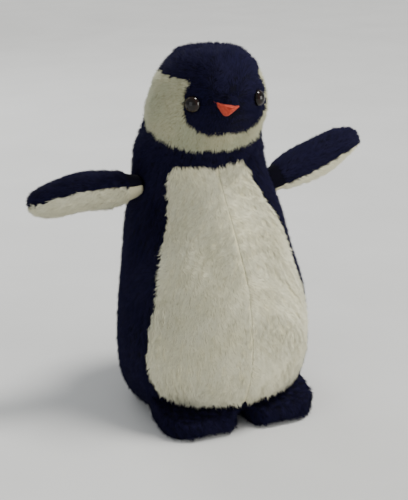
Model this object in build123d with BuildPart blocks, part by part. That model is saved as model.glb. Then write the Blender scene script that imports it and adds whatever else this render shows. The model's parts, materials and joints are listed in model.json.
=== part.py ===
"""Plush penguin: sewn plush panels over stuffing, with flippers, feet, a neck and a head that move.

Millimetres. +Z is up, the penguin faces -Y and its left side is +X.
The origin is on the floor, at the centre of the base panel.
"""
from build123d import *
import math
import os

os.makedirs("parts", exist_ok=True)

# ---------------------------------------------------------------- driving dimensions
figure_height = 294  # floor to the top of the crown
body_half_width = 79  # widest half of the belly, side to side
body_half_depth = 81  # deepest half of the belly, front to back

plush_thickness = 4  # backing cloth with its pile
base_thickness = 4
joint_gap = 0.5  # between two pieces that move against each other

tummy_bottom = 26  # lower edge of the white tummy
tummy_corner_radius = 20

neck_seam_rise = 33  # from the pivot of the neck up to the seam with the body
neck_band_width = 8  # thickness of the neck layer between body and head
ball_floor_share = 0.45  # the round neck seams lie above this share of the way down to the pivot

foot_width = 59
foot_height = 23
foot_reach = 50  # hinge line to toe
foot_spacing = 10  # between the two feet
toe_radius = 8
toe_inner_radius = 16
toe_outer_radius = 26
sole_thickness = 3

flipper_length = 80  # hinge line to tip
flipper_chord = 40
flipper_thickness = 28
flipper_root_thickness = 8
flipper_pitch = 18  # leading edge raised, degrees
flipper_setback = 5  # middle of the root behind the origin
right_root_drop = 20  # below the neck seam
right_rise = -3  # degrees above level, at rest
left_root_drop = 28
left_rise = 21

eye_diameter = 12
eye_dome_height = 5
eye_flange = 1.2
eye_spacing = 54  # between the two eyes
eye_drop = 37  # below the crown
eye_sink = 1.5  # how deep the eye's flange sits in the pile
eye_shank_diameter = 5
eye_shank_length = 14
washer_diameter = 16
washer_thickness = 1.6
washer_clearance = 0.15  # radial, around the shank

gusset_width = 40
gusset_front_drop = 26
gusset_back_drop = 58
gusset_front = 0.2  # where its front edge ends, in half-depths in front of the origin
gusset_back = 0.7  # where its back edge ends, in half-depths behind the origin
mask_width = 58
mask_depth = 40  # height of the round part of the mask
mask_drop = 38  # centre of the round part, below the crown
mask_top_width = 48
mask_top_drop = 17
cheek_top_drop = 21
cheek_back_drop = 45  # lower back corner
cheek_chin_drop = 85  # where the lower edge would meet the chin's front
cheek_chin = 0.74  # the chin's front, in half-depths in front of the origin
cheek_back = 16  # back edge, behind the origin
cheek_corner_radius = 9

beak_drop = 37  # top edge of the coral lower beak, below the crown
beak_width = 21
beak_depth = 10  # top edge to lower point
beak_tuft_height = 6
beak_reach = 9  # how far the beak stands out from the face
beak_tip_share = 0.35  # the front end's size, of the size at the face

tail_width = 36
tail_length = 26
tail_height = 14
tail_lift = 7  # underside above the floor

pouch_length = 80
pouch_depth = 56
pouch_height = 34
pouch_setback = 17
pouch_lift = 8
pouch_wall = 0.8

# Stations of the body and head: share of the height, of the half-width, of the half-depth,
# and how far the centre line lies behind the origin, in half-depths.
stations = [
    (0.000, 0.76, 0.72, 0.00),
    (0.041, 0.90, 0.88, -0.07),
    (0.119, 0.99, 0.98, -0.14),
    (0.238, 1.00, 1.00, -0.16),
    (0.340, 0.95, 0.96, -0.12),
    (0.442, 0.87, 0.90, -0.05),
    (0.544, 0.79, 0.80, 0.04),
    (0.622, 0.72, 0.71, 0.12),
    (0.690, 0.68, 0.63, 0.14),
    (0.745, 0.62, 0.62, 0.08),
    (0.796, 0.59, 0.65, -0.03),
    (0.844, 0.58, 0.65, -0.12),
    (0.891, 0.55, 0.60, -0.16),
    (0.935, 0.49, 0.51, -0.20),
    (0.973, 0.38, 0.38, -0.25),
    (1.000, 0.19, 0.21, -0.28),
]
neck_station = 8

# Where the tummy's border runs down each flank, in half-depths in front of the origin.
tummy_border_low = 0.50
tummy_border_high = 0.27
hinge_under_belly = 0.505  # the feet's hinge line, in half-depths in front of the origin

# Stations along a flipper: share of the length, share of the chord, and how far the thickness
# has grown from the root's to its fullest.
flipper_stations = [
    (0.00, 0.86, 0.00),
    (0.10, 0.92, 0.50),
    (0.25, 0.98, 0.93),
    (0.45, 1.00, 1.00),
    (0.68, 0.90, 0.88),
    (0.86, 0.66, 0.50),
    (1.00, 0.32, 0.10),
]
thinnest_filling = 3

# ---------------------------------------------------------------- worked out from them
far = 3 * figure_height  # longer than anything
neck_height_share, neck_width_share, _, neck_centre_share = stations[neck_station]
neck_seam = neck_height_share * figure_height
pivot = Vector(0, neck_centre_share * body_half_depth, neck_seam - neck_seam_rise)
body_ball = math.hypot(neck_width_share * body_half_width, neck_seam_rise)
neck_ball = body_ball + joint_gap + neck_band_width
ball_floor = neck_seam - ball_floor_share * neck_seam_rise


def keep(builder, label):
    """Name a finished piece and write it to its own file."""
    builder.part.label = label
    export_step(builder.part, f"parts/{label}.step")


# ---------------------------------------------------------------- shared forms
def figure(inset):
    """Body and head as one lofted form, set in by a thickness of plush."""
    with BuildPart() as form:
        for height, width, depth, centre in stations:
            with BuildSketch(Plane.XY.offset(height * figure_height)):
                with Locations((0, centre * body_half_depth)):
                    Ellipse(width * body_half_width - inset, depth * body_half_depth - inset)
        loft()
        if inset:
            split(bisect_by=Plane.XY.offset(figure_height - inset), keep=Keep.BOTTOM)
            split(bisect_by=Plane.XY.offset(base_thickness), keep=Keep.TOP)
    return form.part


def slab(low, high):
    """Everything between two heights."""
    with BuildPart() as block:
        with BuildSketch(Plane.XY.offset(low)):
            Rectangle(2 * far, 2 * far)
        extrude(amount=high - low)
    return block.part


def ball(radius):
    """A ball about the neck's pivot."""
    with BuildPart() as sphere:
        with Locations(pivot):
            Sphere(radius)
    return sphere.part


def pillow(plan, profile):
    """A stuffed form with a given outline from above, and another from the side drawn as (Y, Z)."""
    with BuildPart() as form:
        with BuildSketch():
            add(plan)
        extrude(amount=far, both=True)
        with BuildSketch(Plane.YZ):
            add(profile)
        extrude(amount=far, both=True, mode=Mode.INTERSECT)
    return form.part


outer = figure(0)
inner = figure(plush_thickness)


def surface_point(start, direction):
    """Where a line first meets the outside of the body or head, and the outward normal there."""
    hits = []
    for face in outer.faces():
        hits += face.find_intersection_points(Axis(start, direction))
    return min(hits, key=lambda hit: (hit[0] - Vector(*start)).length)


with BuildPart() as plush_shell:
    add(outer)
    add(inner, mode=Mode.SUBTRACT)
    add(slab(-1, base_thickness), mode=Mode.SUBTRACT)

with BuildPart() as over_body:
    add(slab(ball_floor, far))
    add(ball(body_ball), mode=Mode.SUBTRACT)

with BuildPart() as neck_zone:
    add(ball(neck_ball))
    add(slab(ball_floor, far), mode=Mode.INTERSECT)
    add(ball(body_ball + joint_gap), mode=Mode.SUBTRACT)

with BuildPart() as head_zone:
    add(slab(ball_floor, far))
    add(ball(neck_ball + joint_gap), mode=Mode.SUBTRACT)

# ---------------------------------------------------------------- feet
heel_radius = foot_height / 2
hinge_y = -hinge_under_belly * body_half_depth
toe_y = hinge_y - foot_reach
foot_middle = foot_spacing / 2 + foot_width / 2


def foot_profile(inset):
    """Side view: round heel about the hinge line, flat sole, round toe."""
    with BuildSketch() as side_view:
        with BuildLine():
            sole = Line((hinge_y, 0), (toe_y + toe_radius, 0))
            toe = ThreePointArc(sole @ 1, (toe_y, toe_radius), (toe_y + toe_radius, 2 * toe_radius))
            instep = Line(toe @ 1, (hinge_y, foot_height))
            ThreePointArc(instep @ 1, (hinge_y + heel_radius, heel_radius), sole @ 0)
        make_face()
        if inset:
            offset(amount=-inset)
    return side_view.sketch


def foot_plan(side, inset):
    """Top view: square heel and round toe corners, rounder on the outside."""
    length = foot_reach + heel_radius
    with BuildSketch() as plan:
        with Locations((side * foot_middle, toe_y + length / 2)):
            Rectangle(foot_width - 2 * inset, length - 2 * inset)
        inner_toe = plan.vertices().group_by(Axis.Y)[0].sort_by(Axis.X, reverse=side < 0)[0]
        fillet(inner_toe, toe_inner_radius - inset)
        outer_toe = plan.vertices().group_by(Axis.Y)[0].sort_by(Axis.X, reverse=side < 0)[-1]
        fillet(outer_toe, toe_outer_radius - inset)
    return plan.sketch


def foot_pocket(side):
    """Room under the belly for one foot, and for its swing downwards."""
    back = hinge_y + heel_radius + joint_gap
    with BuildPart() as pocket:
        with BuildSketch(Plane.YZ.offset(side * foot_middle)):
            with BuildLine():
                roof = Polyline(
                    (hinge_y, -joint_gap),
                    (hinge_y, -foot_height),
                    (-far, -foot_height),
                    (-far, 2 * toe_radius + joint_gap),
                    (toe_y + toe_radius, 2 * toe_radius + joint_gap),
                    (hinge_y, foot_height + joint_gap),
                )
                ThreePointArc(roof @ 1, (back, heel_radius), roof @ 0)
            make_face()
        extrude(amount=foot_width / 2 + joint_gap, both=True)
    return pocket.part


for side, name in ((1, "left"), (-1, "right")):
    whole_foot = pillow(foot_plan(side, 0), foot_profile(0))
    foot_filling = pillow(foot_plan(side, plush_thickness), foot_profile(plush_thickness))

    with BuildPart() as foot_top:
        add(whole_foot)
        add(foot_filling, mode=Mode.SUBTRACT)
        add(slab(-1, sole_thickness), mode=Mode.SUBTRACT)
    keep(foot_top, f"foot_top_{name}")

    with BuildPart() as foot_sole:
        add(whole_foot)
        add(slab(-1, sole_thickness), mode=Mode.INTERSECT)
    keep(foot_sole, f"foot_sole_{name}")

    with BuildPart() as foot_stuffing:
        add(foot_filling)
    keep(foot_stuffing, f"foot_stuffing_{name}")


# ---------------------------------------------------------------- body
def tummy_zone():
    """Side view of the white tummy, as wide as the body: a border down each flank."""
    with BuildPart() as zone:
        with BuildSketch(Plane.YZ) as side_view:
            with BuildLine():
                Polyline(
                    (-far, tummy_bottom),
                    (-tummy_border_low * body_half_depth, tummy_bottom),
                    (-tummy_border_high * body_half_depth, neck_seam),
                    (-tummy_border_high * body_half_depth, far),
                    (-far, far),
                    close=True,
                )
            make_face()
            fillet(side_view.vertices().group_by(Axis.Y)[1], tummy_corner_radius)
        extrude(amount=far, both=True)
    return zone.part


def trim_to_body():
    """Cut the piece being made to its neck seam and to the pockets over the feet."""
    add(over_body.part, mode=Mode.SUBTRACT)
    for side in (1, -1):
        add(foot_pocket(side), mode=Mode.SUBTRACT)


with BuildPart() as base_panel:
    add(outer)
    add(slab(-1, base_thickness), mode=Mode.INTERSECT)
    trim_to_body()
keep(base_panel, "base_panel")

for name, half in (("left", Keep.TOP), ("right", Keep.BOTTOM)):
    with BuildPart() as tummy_panel:
        add(plush_shell.part)
        trim_to_body()
        add(tummy_zone(), mode=Mode.INTERSECT)
        split(bisect_by=Plane.YZ, keep=half)
    keep(tummy_panel, f"tummy_panel_{name}")

    with BuildPart() as back_panel:
        add(plush_shell.part)
        trim_to_body()
        add(tummy_zone(), mode=Mode.SUBTRACT)
        split(bisect_by=Plane.YZ, keep=half)
    keep(back_panel, f"back_panel_{name}")


def pouch_form(inset):
    """The flat round sack of pellets, set in by its cloth."""
    with BuildPart() as sack:
        with BuildSketch(Plane.XY.offset(pouch_lift + inset)):
            with Locations((0, pouch_setback)):
                Ellipse(pouch_length / 2 - inset, pouch_depth / 2 - inset)
        extrude(amount=pouch_height - 2 * inset)
        fillet(sack.edges().filter_by(Plane.XY), pouch_height / 3 - inset)
    return sack.part


with BuildPart() as pellet_fill:
    add(pouch_form(pouch_wall))
keep(pellet_fill, "pellet_fill")

with BuildPart() as pellet_pouch:
    add(pouch_form(0))
    add(pouch_form(pouch_wall), mode=Mode.SUBTRACT)
keep(pellet_pouch, "pellet_pouch")

with BuildPart() as torso_stuffing:
    add(inner)
    trim_to_body()
    add(pouch_form(0), mode=Mode.SUBTRACT)
keep(torso_stuffing, "torso_stuffing")

# ---------------------------------------------------------------- tail
tail_back = surface_point((0, far, tail_lift + tail_height / 2), (0, -1, 0))[0].Y
tail_seam = tail_lift + tail_height / 2


def tail_plan(inset):
    """Top view: an oval, its front half inside the back."""
    with BuildSketch() as plan:
        with Locations((0, tail_back)):
            Ellipse(tail_width / 2 - inset, tail_length - inset)
    return plan.sketch


def tail_profile(inset):
    """Side view: thick at the back panel, thin at the tip, flat below."""
    start = tail_back - tail_length
    end = tail_back + tail_length
    with BuildSketch() as side_view:
        with BuildLine():
            Polyline(
                (start, tail_lift + inset),
                (end, tail_lift + inset),
                (end, tail_seam),
                (start, tail_lift + tail_height - inset),
                close=True,
            )
        make_face()
    return side_view.sketch


tail_filling = pillow(tail_plan(plush_thickness), tail_profile(plush_thickness))

with BuildPart() as tail_cover:
    add(pillow(tail_plan(0), tail_profile(0)))
    add(tail_filling, mode=Mode.SUBTRACT)
    add(outer, mode=Mode.SUBTRACT)

for name, half in (("top", Keep.TOP), ("under", Keep.BOTTOM)):
    with BuildPart() as tail_panel:
        add(tail_cover.part)
        split(bisect_by=Plane.XY.offset(tail_seam), keep=half)
    keep(tail_panel, f"tail_{name}_panel")

with BuildPart() as tail_stuffing:
    add(tail_filling)
    add(outer, mode=Mode.SUBTRACT)
keep(tail_stuffing, "tail_stuffing")

# ---------------------------------------------------------------- neck
with BuildPart() as neck_band:
    add(plush_shell.part)
    add(neck_zone.part, mode=Mode.INTERSECT)
keep(neck_band, "neck_band")

with BuildPart() as neck_stuffing:
    add(inner)
    add(neck_zone.part, mode=Mode.INTERSECT)
keep(neck_stuffing, "neck_stuffing")


# ---------------------------------------------------------------- eyes and washers
def seat_plane(side):
    """Plane across an eye's axis: its Y is the way the eye looks, its origin is under the flange."""
    point, normal = surface_point((side * eye_spacing / 2, -far, figure_height - eye_drop), (0, 1, 0))
    across = Vector(0, 0, 1).cross(normal).normalized()
    return Plane(origin=point - normal * eye_sink, x_dir=across, z_dir=across.cross(normal))


dome_rise = eye_dome_height - eye_flange
dome_radius = ((eye_diameter / 2) ** 2 + dome_rise**2) / (2 * dome_rise)
half_turn = math.asin(eye_diameter / 2 / dome_radius) / 2
dome_side = (dome_radius * math.sin(half_turn), eye_dome_height - dome_radius * (1 - math.cos(half_turn)))
washer_bore = eye_shank_diameter / 2 + washer_clearance

eyes = []
washers = []
for side, name in ((1, "left"), (-1, "right")):
    plane = seat_plane(side)
    looking = Axis(plane.origin, plane.y_dir)
    washer_top = eye_sink - plush_thickness

    with BuildPart() as eye:
        with BuildSketch(plane):
            with BuildLine():
                stem = Polyline(
                    (0, eye_dome_height),
                    (0, -eye_shank_length),
                    (eye_shank_diameter / 2, -eye_shank_length),
                    (eye_shank_diameter / 2, 0),
                    (eye_diameter / 2, 0),
                    (eye_diameter / 2, eye_flange),
                )
                ThreePointArc(stem @ 1, dome_side, stem @ 0)
            make_face()
        revolve(axis=looking)
    keep(eye, f"eye_{name}")
    eyes.append(eye.part)

    with BuildPart() as washer:
        with BuildSketch(plane):
            with Locations((washer_bore, washer_top)):
                Rectangle(washer_diameter / 2 - washer_bore, washer_thickness, align=(Align.MIN, Align.MAX))
        revolve(axis=looking)
    keep(washer, f"eye_washer_{name}")
    washers.append(washer.part)


# ---------------------------------------------------------------- head panels
def from_crown(drop):
    """Height of something that lies this far below the crown."""
    return figure_height - drop


with BuildPart() as gusset_zone:
    with BuildSketch(Plane.YZ):
        with BuildLine():
            Polyline(
                (-far, from_crown(gusset_front_drop)),
                (-gusset_front * body_half_depth, from_crown(gusset_front_drop)),
                (gusset_back * body_half_depth, from_crown(gusset_back_drop)),
                (gusset_back * body_half_depth, far),
                (-far, far),
                close=True,
            )
        make_face()
    extrude(amount=gusset_width / 2, both=True)

with BuildPart() as mask_zone:
    with BuildSketch(Plane.XZ):
        with Locations((0, from_crown(mask_drop))):
            Ellipse(mask_width / 2, mask_depth / 2)
        with Locations((0, from_crown(mask_top_drop))):
            Rectangle(mask_top_width, mask_drop - mask_top_drop, align=(Align.CENTER, Align.MAX))
    extrude(amount=far)

with BuildPart() as cheek_zone:
    with BuildSketch(Plane.YZ) as cheek_view:
        with BuildLine():
            Polyline(
                (-far, from_crown(cheek_chin_drop)),
                (-cheek_chin * body_half_depth, from_crown(cheek_chin_drop)),
                (cheek_back, from_crown(cheek_back_drop)),
                (cheek_back, from_crown(cheek_top_drop)),
                (-far, from_crown(cheek_top_drop)),
                close=True,
            )
        make_face()
        fillet(cheek_view.vertices().group_by(Axis.Y)[-1], cheek_corner_radius)
    extrude(amount=far, both=True)


beak_line = from_crown(beak_drop)


def beak_form(rise):
    """A piece on the face that narrows forwards, from the beak line up to an arc or down to a point."""
    face_y = surface_point((0, -far, beak_line), (0, 1, 0))[0].Y
    with BuildPart() as form:
        for depth, share in ((plush_thickness, 1), (-beak_reach, beak_tip_share)):
            with BuildSketch(Plane.XZ.offset(-face_y - depth)):
                with BuildLine():
                    edge = Line((-share * beak_width / 2, beak_line), (share * beak_width / 2, beak_line))
                    if rise > 0:
                        ThreePointArc(edge @ 1, (0, beak_line + share * rise), edge @ 0)
                    else:
                        Polyline(edge @ 1, (0, beak_line + share * rise), edge @ 0)
                make_face()
        loft()
        add(outer, mode=Mode.SUBTRACT)
    return form.part


with BuildPart() as beak_lower:
    add(beak_form(-beak_depth))
keep(beak_lower, "beak_lower")

with BuildPart() as beak_upper:
    add(beak_form(beak_tuft_height))
keep(beak_upper, "beak_upper")


def trim_to_head():
    """Cut the piece being made to its neck seam and around the eyes and their washers."""
    add(head_zone.part, mode=Mode.INTERSECT)
    for fitting in eyes + washers:
        add(fitting, mode=Mode.SUBTRACT)


with BuildPart() as crown_gusset:
    add(plush_shell.part)
    add(gusset_zone.part, mode=Mode.INTERSECT)
    trim_to_head()
keep(crown_gusset, "crown_gusset")

for name, half in (("left", Keep.TOP), ("right", Keep.BOTTOM)):
    with BuildPart() as face_panel:
        add(plush_shell.part)
        add(mask_zone.part, mode=Mode.INTERSECT)
        add(gusset_zone.part, mode=Mode.SUBTRACT)
        trim_to_head()
        split(bisect_by=Plane.YZ, keep=half)
    keep(face_panel, f"face_panel_{name}")

    with BuildPart() as cheek_panel:
        add(plush_shell.part)
        add(cheek_zone.part, mode=Mode.INTERSECT)
        add(mask_zone.part, mode=Mode.SUBTRACT)
        add(gusset_zone.part, mode=Mode.SUBTRACT)
        trim_to_head()
        split(bisect_by=Plane.YZ, keep=half)
    keep(cheek_panel, f"cheek_panel_{name}")

    with BuildPart() as nape_panel:
        add(plush_shell.part)
        add(cheek_zone.part, mode=Mode.SUBTRACT)
        add(mask_zone.part, mode=Mode.SUBTRACT)
        add(gusset_zone.part, mode=Mode.SUBTRACT)
        trim_to_head()
        split(bisect_by=Plane.YZ, keep=half)
    keep(nape_panel, f"nape_panel_{name}")

with BuildPart() as head_stuffing:
    add(inner)
    trim_to_head()
keep(head_stuffing, "head_stuffing")


# ---------------------------------------------------------------- flippers
def flipper_frame(side, rise):
    """Directions of a flipper: along it, across it to the leading edge, and through its thickness."""
    lean = math.radians(rise)
    pitch = math.radians(flipper_pitch)
    along = Vector(side * math.cos(lean), 0, math.sin(lean))
    above = Vector(-side * math.sin(lean), 0, math.cos(lean))
    leading = Vector(0, -1, 0) * math.cos(pitch) + above * math.sin(pitch)
    through = above * math.cos(pitch) + Vector(0, 1, 0) * math.sin(pitch)
    return along, leading, through


def root_point(side, rise, drop):
    """Middle of the hinge line: the root's rounded edge clears the widest flank beside it."""
    leading = flipper_frame(side, rise)[1]
    height = neck_seam - drop
    flank = 0
    for place in (-flipper_chord / 2, 0, flipper_chord / 2):
        start = Vector(side * far, flipper_setback, height) + leading * place
        flank = max(flank, side * surface_point(tuple(start), (-side, 0, 0))[0].X)
    return Vector(side * (flank + flipper_root_thickness / 2 + joint_gap), flipper_setback, height)


def flipper_form(root, side, rise, inset):
    """The stuffed flipper, lofted from root to tip, set in by a thickness of plush."""
    along, leading, _ = flipper_frame(side, rise)
    growth = flipper_thickness - flipper_root_thickness
    with BuildPart() as form:
        for place, chord_share, growth_share in flipper_stations:
            thickness = flipper_root_thickness + growth_share * growth - 2 * inset
            if thickness > thinnest_filling or not inset:
                chord = chord_share * flipper_chord - 2 * inset
                centre = root + along * (place * flipper_length)
                with BuildSketch(Plane(origin=centre, x_dir=leading, z_dir=along)):
                    Ellipse(chord / 2, thickness / 2)
        loft()
    return form.part


flippers = [
    (1, "left", left_rise, left_root_drop),
    (-1, "right", right_rise, right_root_drop),
]
for side, name, rise, drop in flippers:
    root = root_point(side, rise, drop)
    through = flipper_frame(side, rise)[2]
    flipper_filling = flipper_form(root, side, rise, plush_thickness)

    with BuildPart() as flipper_cover:
        add(flipper_form(root, side, rise, 0))
        add(flipper_filling, mode=Mode.SUBTRACT)

    for cover, half in (("upper", Keep.TOP), ("under", Keep.BOTTOM)):
        with BuildPart() as flipper_panel:
            add(flipper_cover.part)
            split(bisect_by=Plane(origin=root, z_dir=through), keep=half)
        keep(flipper_panel, f"flipper_{cover}_{name}")

    with BuildPart() as flipper_stuffing:
        add(flipper_filling)
    keep(flipper_stuffing, f"flipper_stuffing_{name}")
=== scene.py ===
"""Plush penguin: sewn skins, mesh fur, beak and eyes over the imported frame.

Metres. +Z is up, the penguin faces -Y and its left side is +X.
"""
import json
import math

import bpy
import numpy as np
from mathutils import Matrix, Vector
from mathutils.bvhtree import BVHTree


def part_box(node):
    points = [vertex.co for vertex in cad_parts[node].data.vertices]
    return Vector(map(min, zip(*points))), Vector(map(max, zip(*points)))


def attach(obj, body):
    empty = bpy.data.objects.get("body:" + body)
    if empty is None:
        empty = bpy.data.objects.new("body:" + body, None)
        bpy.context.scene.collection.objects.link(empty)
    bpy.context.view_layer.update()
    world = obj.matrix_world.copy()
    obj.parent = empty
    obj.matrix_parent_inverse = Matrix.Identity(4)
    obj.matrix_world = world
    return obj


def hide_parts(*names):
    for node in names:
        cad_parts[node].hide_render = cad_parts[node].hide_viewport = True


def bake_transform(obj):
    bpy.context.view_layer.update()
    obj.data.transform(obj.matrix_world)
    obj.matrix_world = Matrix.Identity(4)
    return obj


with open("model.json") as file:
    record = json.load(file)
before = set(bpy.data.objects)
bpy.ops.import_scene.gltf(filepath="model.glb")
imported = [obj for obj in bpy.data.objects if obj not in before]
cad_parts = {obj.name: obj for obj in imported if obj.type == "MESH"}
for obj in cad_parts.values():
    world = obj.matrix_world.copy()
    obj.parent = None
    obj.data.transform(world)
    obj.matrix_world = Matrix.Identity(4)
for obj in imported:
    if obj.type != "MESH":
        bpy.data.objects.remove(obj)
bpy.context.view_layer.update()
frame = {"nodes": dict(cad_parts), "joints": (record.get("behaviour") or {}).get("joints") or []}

MM = 0.001

# ---------------------------------------------------------------- sizes
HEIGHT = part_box("crown_gusset")[1].z
HALF_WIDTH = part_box("back_panel_left")[1].x
HALF_DEPTH = 81 * MM
SKIN_INSET = 2.2 * MM  # the backing cloth lies this far inside the pile's outer surface
SKIN_THICKNESS = 1.0 * MM
STUFFING_INSET = 4 * MM  # level distance from the pile's outer surface to the stuffing
SEAM_DEPTH = 0.9 * MM
SEAM_WIDTH = 2.6 * MM
NECK_SPLIT = 207 * MM  # where the body's skin meets the head's

# Height share, half-width share, half-depth share, and centre behind the origin in half-depths.
STATIONS = np.array([
    (0.000, 0.76, 0.72, 0.00),
    (0.041, 0.90, 0.88, -0.07),
    (0.119, 0.99, 0.98, -0.14),
    (0.238, 1.00, 1.00, -0.16),
    (0.340, 0.95, 0.96, -0.12),
    (0.442, 0.87, 0.90, -0.05),
    (0.544, 0.79, 0.80, 0.04),
    (0.622, 0.72, 0.71, 0.12),
    (0.690, 0.68, 0.63, 0.14),
    (0.745, 0.62, 0.62, 0.08),
    (0.796, 0.59, 0.65, -0.03),
    (0.844, 0.58, 0.65, -0.12),
    (0.891, 0.55, 0.60, -0.16),
    (0.935, 0.49, 0.51, -0.20),
    (0.973, 0.38, 0.38, -0.25),
    (1.000, 0.19, 0.21, -0.28),
])

# Half of the white tummy's outline from the front, as (X, Z) in mm, from the bottom of the centre seam.
TUMMY_OUTLINE = [
    (0, 22), (24, 22), (42, 23), (54, 25), (62, 29), (67, 36), (70, 46), (71.5, 57), (71.5, 70),
    (70, 82), (66.5, 98), (62, 112), (57, 131), (52, 150), (47.5, 164), (43, 177), (40, 190),
    (37.5, 199), (33, 205), (26, 206), (13, 205), (0, 203),
]
# How far the tummy is turned about the body towards its left, as (height share, radians).
TUMMY_TURN = np.array([
    (0.0, 0.0), (0.15, 0.03), (0.28, 0.065), (0.40, 0.075), (0.55, 0.03), (0.70, -0.035), (1.0, -0.035),
])
# How wide the tummy's left panel is against its right one, by height share.
TUMMY_LEFT_SHARE = np.array([(0.0, 1.0), (0.38, 1.0), (0.50, 0.93), (0.60, 0.80), (0.70, 0.68), (1.0, 0.68)])
# Half of the black mask from the front, as (X, Z) in mm, from the chin notch up to over the crown.
MASK_OUTLINE = [
    (0, 235.5), (6, 233), (13, 233), (21, 236.5), (28, 242), (31, 249), (31, 257), (29, 264),
    (26, 269), (24.5, 273), (25, 277), (27, 310), (0, 310),
]
MASK_LEFT_SHARE = 1.22  # the mask reaches further round on its left side
# The cream cheek from the side, as (Y, Z) in mm.
CHEEK_OUTLINE = [
    (-200, 274), (-35, 274), (-12, 275), (3, 274), (12, 270), (16, 262), (15, 256), (11, 250),
    (4, 243), (-5, 236), (-15, 230), (-25, 224), (-36, 219), (-47, 216), (-56, 214), (-200, 210),
]

BEAK_POINT = np.array((0.0, -64.0, 255.0)) * MM
EYE_AXIS = np.array((0.648, -0.751, 0.126))
EYE_CLEARING = 5.3 * MM

FLIPPER_LENGTH = 80 * MM
FLIPPER_CHORD = 40 * MM
FLIPPER_THICKNESS = 31 * MM
FLIPPER_INSET = 1.0 * MM
FLIPPER_ROOT_THICKNESS = 8 * MM
FLIPPER_PITCH = math.radians(18)
FLIPPER_RISE = {"left": math.radians(21), "right": math.radians(-3)}
FLIPPER_BOW = {"left": -0.5 * MM, "right": 2.0 * MM}
FLIPPER_SEAM = {"left": -7.0 * MM, "right": -0.5 * MM}  # where black meets white, above the middle
# Share of the length, share of the chord, share of the growth in thickness.
FLIPPER_STATIONS = np.array([
    (-0.10, 0.86, 0.50),
    (0.00, 0.92, 0.62),
    (0.10, 0.96, 0.76),
    (0.25, 1.00, 0.94),
    (0.45, 1.00, 1.00),
    (0.68, 0.93, 0.90),
    (0.86, 0.80, 0.70),
    (1.00, 0.50, 0.36),
])


# ---------------------------------------------------------------- curves and fields
def smooth(table, share):
    """Values of a table at any share of its first column, on a smooth curve through its rows."""
    knots = table[:, 0]
    slopes = np.gradient(table, knots, axis=0)
    share = np.clip(np.asarray(share, float), knots[0], knots[-1])
    i = np.clip(np.searchsorted(knots, share) - 1, 0, len(knots) - 2)
    step = (knots[i + 1] - knots[i])[..., None]
    t = (share - knots[i])[..., None] / step
    value = (2 * t**3 - 3 * t**2 + 1) * table[i] + (3 * t**2 - 2 * t**3) * table[i + 1]
    value += (t**3 - 2 * t**2 + t) * step * slopes[i] + (t**3 - t**2) * step * slopes[i + 1]
    return value[..., 1:]


def unit(vectors):
    """The vectors, each one long."""
    return vectors / np.maximum(np.linalg.norm(vectors, axis=-1, keepdims=True), 1e-12)


def dot(a, b):
    """Dot products of rows, kept as a column."""
    return np.sum(a * b, axis=-1, keepdims=True)


def seeded(name):
    """A random generator that belongs to one piece."""
    return np.random.default_rng([ord(letter) for letter in name])


def waves(points, size, seed, count=14):
    """A soft random vector field between about -1 and 1, with lumps of a given size."""
    rng = np.random.default_rng(seed)
    pull = unit(rng.normal(size=(count, 3))) * (2 * math.pi / size)
    shift = rng.uniform(0, 2 * math.pi, (count, 3))
    push = rng.normal(size=(count, 3)) / math.sqrt(count / 2)
    field = np.zeros_like(points)
    for k in range(count):
        field += push[k] * np.sin((points @ pull[k])[:, None] + shift[k])
    return field


def signed_distance(px, py, outline):
    """Distance from points to a closed outline in mm, in metres and negative inside."""
    corners = np.asarray(outline, float) * MM
    best = np.full(px.shape, 1.0)
    inside = np.zeros(px.shape, bool)
    for (x1, y1), (x2, y2) in zip(corners, np.roll(corners, -1, axis=0)):
        dx, dy = x2 - x1, y2 - y1
        t = np.clip(((px - x1) * dx + (py - y1) * dy) / (dx * dx + dy * dy), 0, 1)
        best = np.minimum(best, np.hypot(px - x1 - t * dx, py - y1 - t * dy))
        if dy:
            crosses = (y1 > py) != (y2 > py)
            inside ^= crosses & (px < x1 + (py - y1) * dx / dy)
    return np.where(inside, -best, best)


# ---------------------------------------------------------------- the body's and head's surface
def figure_point(height, angle, inset=0.0):
    """Point on the body or head at a height and an angle from the front, towards the left side."""
    wide, deep, centre = np.moveaxis(smooth(STATIONS, height / HEIGHT), -1, 0)
    x = (wide * HALF_WIDTH - inset) * np.sin(angle)
    y = centre * HALF_DEPTH - (deep * HALF_DEPTH - inset) * np.cos(angle)
    return np.stack([x, y, height], axis=-1)


def tummy_turn(height):
    """The tummy's centre seam at a height, as an angle from the front."""
    return smooth(TUMMY_TURN, height / HEIGHT)[..., 0]


def from_seam(points):
    """Angle from the tummy's centre seam, positive on its left side."""
    wide, deep, centre = np.moveaxis(smooth(STATIONS, points[:, 2] / HEIGHT), -1, 0)
    angle = np.arctan2(points[:, 0] / wide, (centre * HALF_DEPTH - points[:, 1]) / deep)
    return angle - tummy_turn(points[:, 2]) * (1 + np.cos(angle)) / 2


def tummy_distance(points):
    """How far points are outside the white tummy's border, along the body's surface."""
    angle = from_seam(points)
    angle = np.maximum(-angle, angle / smooth(TUMMY_LEFT_SHARE, points[:, 2] / HEIGHT)[:, 0])
    outline = np.array(TUMMY_OUTLINE + [(-40, 204), (-40, 22)], float)
    across = smooth(STATIONS, outline[:, 1] * MM / HEIGHT)[:, 0] * HALF_WIDTH
    outline[:, 0] = np.arcsin(np.clip(outline[:, 0] * MM / across, -1, 1)) * HALF_WIDTH / MM
    return signed_distance(angle * HALF_WIDTH, points[:, 2], outline)


def mask_distance(points):
    """How far points are outside the black mask and crown."""
    across = np.maximum(-points[:, 0], points[:, 0] / MASK_LEFT_SHARE)
    front = signed_distance(across, points[:, 2], MASK_OUTLINE + [(-40, 310), (-40, 238)])
    behind = points[:, 1] + 5 * MM
    return np.where(behind > 0, np.hypot(np.maximum(front, 0), behind), front)


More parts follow.
